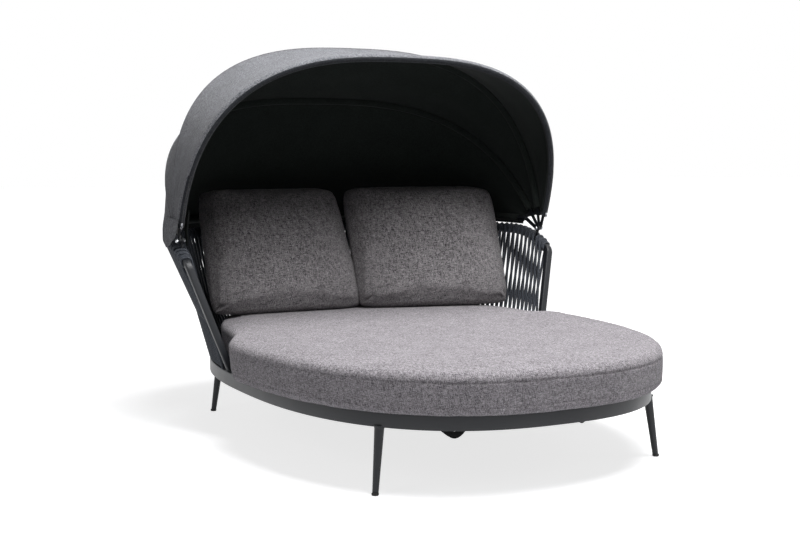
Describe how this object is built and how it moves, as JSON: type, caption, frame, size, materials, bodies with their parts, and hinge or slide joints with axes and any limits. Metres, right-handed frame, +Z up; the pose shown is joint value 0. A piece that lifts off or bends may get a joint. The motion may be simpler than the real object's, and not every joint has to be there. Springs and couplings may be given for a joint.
{
  "type": "outdoor daybed with canopy",
  "caption": "Oval outdoor daybed on splayed legs, with a rope-wound horseshoe backrest, a folding fabric canopy, a thick mattress and loose pillows.",
  "frame": {"origin": "on the floor under the middle of the whole box, mattress and canopy included", "axes": "+Z up, +X to the right of a person who lies down facing the canopy, -Y towards the open front of the mattress"},
  "size_m": [1.7632, 2.274, 1.5758],
  "materials": {
    "coat": "charcoal powder coat, fine satin",
    "rope": "round woven outdoor rope, black with a grey sheen",
    "glide": "matte black",
    "deck": "taut black mesh textile",
    "webbing": "black webbing",
    "steel": "bright stainless steel",
    "canopy": "woven grey melange outside, dark coated lining inside",
    "pad": "coarse woven grey melange",
    "pillow": "coarse woven dark grey melange"
  },
  "bodies": {
    "frame": {"base_ring": "coat", "leg_front_left": "coat", "leg_front_right": "coat", "leg_rear_left": "coat", "leg_rear_right": "coat", "glide_front_left": "glide", "glide_front_right": "glide", "glide_rear_left": "glide", "glide_rear_right": "glide", "deck_bar_1": "coat", "deck_bar_2": "coat", "deck_bar_3": "coat", "deck_bar_4": "coat", "deck_bar_5": "coat", "deck_sheet": "deck", "tie_strap_1": "webbing", "tie_strap_2": "webbing", "post_left": "coat", "post_right": "coat", "post_gusset_left": "coat", "post_gusset_right": "coat", "top_rail": "coat", "lower_rail": "coat", "rope_panel_1_left": "rope", "rope_panel_2_left": "rope", "rope_panel_3_left": "rope", "rope_panel_4_left": "rope", "rope_panel_1_right": "rope", "rope_panel_2_right": "rope", "rope_panel_3_right": "rope", "rope_panel_4_right": "rope", "pivot_bracket_left": "coat", "pivot_bracket_right": "coat", "pivot_bolt_left": "steel", "pivot_bolt_right": "steel", "rear_bow": "coat"},
    "rear_middle_bow_body": {"rear_middle_bow": "coat", "canopy_rear_panel": "canopy"},
    "middle_bow_body": {"middle_bow": "coat", "canopy_middle_panel": "canopy"},
    "front_bow_body": {"front_bow": "coat", "canopy_front_panel": "canopy"},
    "zip_slider_left_body": {"zip_slider_left": "steel"},
    "zip_slider_right_body": {"zip_slider_right": "steel"},
    "mattress_body": {"mattress": "pad"},
    "pillow_left_body": {"pillow_left": "pillow"},
    "pillow_right_body": {"pillow_right": "pillow"}
  },
  "joints": [
    {"name": "rear_middle_fold", "type": "hinge", "parent": "frame", "child": "rear_middle_bow_body", "pos_m": [0, 0.351, 0.78], "axis": [-1, 0, 0], "range_deg": [0, 35], "deforming": ["canopy_rear_panel"]},
    {"name": "middle_fold", "type": "hinge", "parent": "rear_middle_bow_body", "child": "middle_bow_body", "pos_m": [0, 0.351, 0.78], "axis": [-1, 0, 0], "range_deg": [0, 20], "deforming": ["canopy_middle_panel"]},
    {"name": "front_fold", "type": "hinge", "parent": "middle_bow_body", "child": "front_bow_body", "pos_m": [0, 0.351, 0.78], "axis": [-1, 0, 0], "range_deg": [0, 24.5], "deforming": ["canopy_front_panel"]},
    {"name": "zip_left_slide", "type": "slide", "parent": "front_bow_body", "child": "zip_slider_left_body", "axis": [0.0857, -0.3489, 0.9332], "range_m": [0, 0.2]},
    {"name": "zip_right_slide", "type": "slide", "parent": "front_bow_body", "child": "zip_slider_right_body", "axis": [-0.0857, -0.3489, 0.9332], "range_m": [0, 0.2]},
    {"name": "mattress_lift_out", "type": "slide", "parent": "frame", "child": "mattress_body", "axis": [0, -1, 0], "range_m": [0, 1]},
    {"name": "pillow_left_lift_off", "type": "slide", "parent": "mattress_body", "child": "pillow_left_body", "axis": [0, -0.9205, 0.3907], "range_m": [0, 0.7]},
    {"name": "pillow_right_lift_off", "type": "slide", "parent": "mattress_body", "child": "pillow_right_body", "axis": [0, -0.9205, 0.3907], "range_m": [0, 0.7]}
  ],
  "couplings": [
    {"joint": "middle_fold", "follows": "rear_middle_fold", "ratio": 0.5714},
    {"joint": "front_fold", "follows": "rear_middle_fold", "ratio": 0.7}
  ]
}
